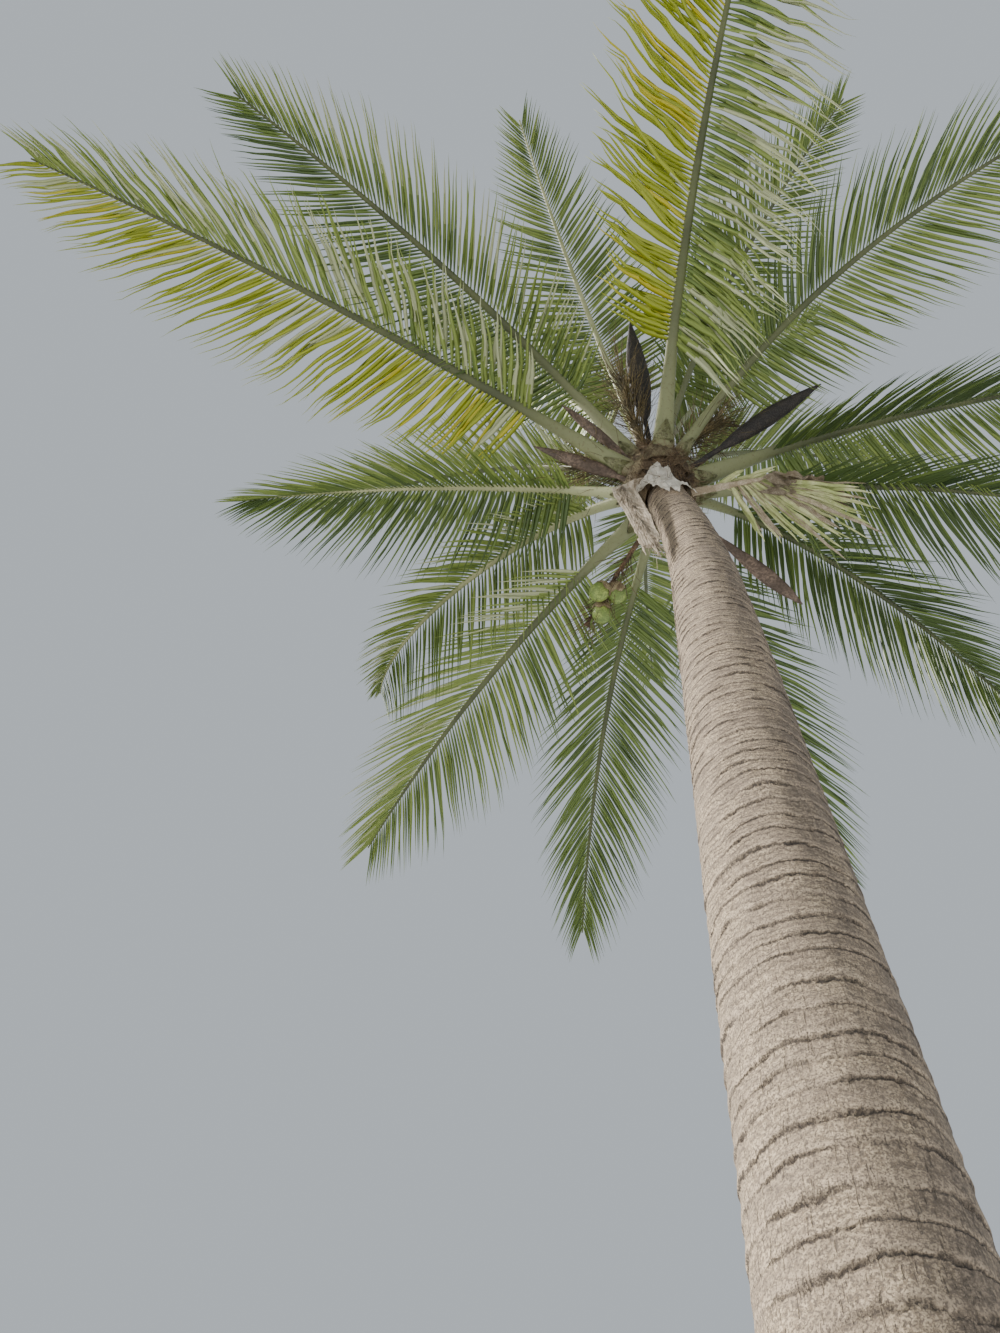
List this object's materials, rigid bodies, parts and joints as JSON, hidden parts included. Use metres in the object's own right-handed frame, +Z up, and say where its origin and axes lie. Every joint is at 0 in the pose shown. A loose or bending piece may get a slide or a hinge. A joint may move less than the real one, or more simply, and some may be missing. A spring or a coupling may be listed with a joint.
{
  "type": "coconut palm tree",
  "caption": "Coconut palm with a leaning ringed trunk, a flared foot and a full crown of arching feather fronds, dry flower pods, young nuts and dead leaf bases.",
  "frame": {"origin": "middle of the flat cut under the trunk, at ground level", "axes": "+Z up; +Y away from the side the picture was taken from, +X to the right as seen from there"},
  "size_m": [6.6859, 6.3148, 9.0695],
  "materials": {
    "bark": "rough grey-beige bark with ring scars",
    "fibre": "dark brown matted fibre",
    "spear": "smooth pale green folded leaf",
    "pod": "dry near-black woody pod",
    "brush": "dry tan flower strands",
    "nut": "smooth young green husk",
    "dry_leaf": "pale dry leaflets",
    "dead_base": "grey-tan frayed leaf base",
    "sheath": "pale torn sheath",
    "frond": "satin green leaflets on an olive rib"
  },
  "bodies": {
    "root": {"trunk": "bark", "crown_heart": "fibre", "spear_leaf": "spear", "pod_upper": "pod", "pod_right": "pod", "pod_low_right": "pod", "pod_left": "pod", "pod_upper_left": "pod", "brush_upper": "brush", "brush_right": "brush", "brush_left": "brush", "nut_bunch": "nut", "broken_frond": "dry_leaf", "dead_leaf_base": "dead_base", "torn_sheath": "sheath", "cut_stub": "fibre", "frond_near_big": "frond", "frond_near_slim": "frond", "frond_near_right": "frond", "frond_right_thick": "frond", "frond_right_level": "frond", "frond_far_right_inner": "frond", "frond_far_right_outer": "frond", "frond_far_hidden_inner": "frond", "frond_far_hidden_outer": "frond", "frond_far_middle_inner": "frond", "frond_far_middle_outer": "frond", "frond_far_left_thick": "frond", "frond_left_drooping_inner": "frond", "frond_left_drooping_outer": "frond", "frond_left_level": "frond", "frond_left_long": "frond", "frond_left_dark": "frond", "frond_near_upright": "frond", "frond_young_far": "frond", "frond_young_left": "frond", "frond_young_right": "frond", "frond_young_back": "frond", "frond_young_side": "frond", "frond_young_west": "frond"}
  },
  "joints": []
}
